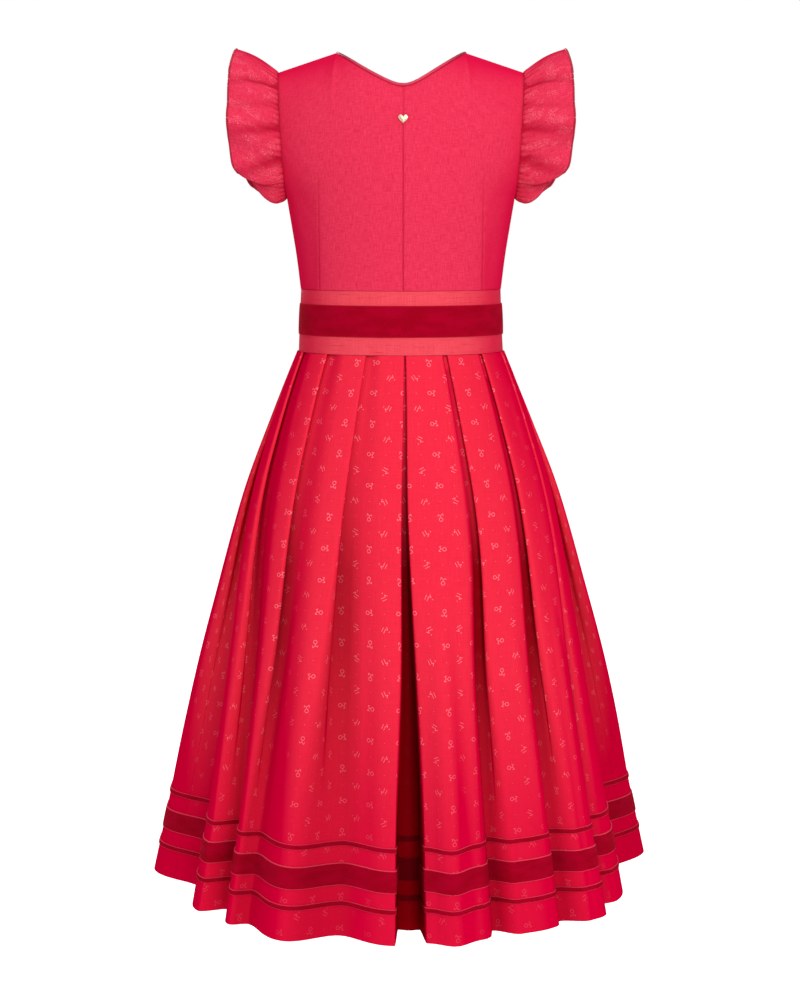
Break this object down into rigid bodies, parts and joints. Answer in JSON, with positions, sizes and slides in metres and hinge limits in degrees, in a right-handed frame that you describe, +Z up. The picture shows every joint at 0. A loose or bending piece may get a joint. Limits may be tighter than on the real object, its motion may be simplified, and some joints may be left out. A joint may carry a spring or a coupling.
{
  "type": "girl's dirndl dress, worn form",
  "caption": "Hollow dirndl in its worn form: piped bodice, ruffled sleeves, ribboned waistband and a pleated skirt with velvet ribbons above the hem.",
  "frame": {"origin": "midway between the two neck points, at the top of the shoulder seams, where the wearer's shoulders hold the garment", "axes": "+Z up towards the shoulders, +Y towards the wearer's front, +X towards the wearer's right"},
  "size_m": [0.6205, 0.495, 0.9979],
  "materials": {
    "bodice_linen": "fine plain linen-look weave, matte",
    "sleeve_voile": "thin open voile with a few light flecks, matte",
    "band_dupion": "slubbed dupion, soft lustre",
    "skirt_print": "printed cotton satin, soft sheen, small light sprigs",
    "velvet": "short-pile velvet ribbon with a fine lighter selvedge",
    "piping_satin": "satin piping cord",
    "gold": "polished gold-coloured metal"
  },
  "bodies": {
    "root": {"bodice_back_left": "bodice_linen", "bodice_back_right": "bodice_linen", "bodice_front": "bodice_linen", "neck_piping": "piping_satin", "sleeve_left": "sleeve_voile", "sleeve_right": "sleeve_voile", "sleeve_piping_left": "piping_satin", "sleeve_piping_right": "piping_satin", "waistband": "band_dupion", "waist_ribbon": "velvet", "skirt_back": "skirt_print", "skirt_front": "skirt_print", "hem_ribbon_lower": "velvet", "hem_ribbon_wide": "velvet", "hem_ribbon_upper": "velvet", "heart_stud": "gold"}
  },
  "joints": []
}
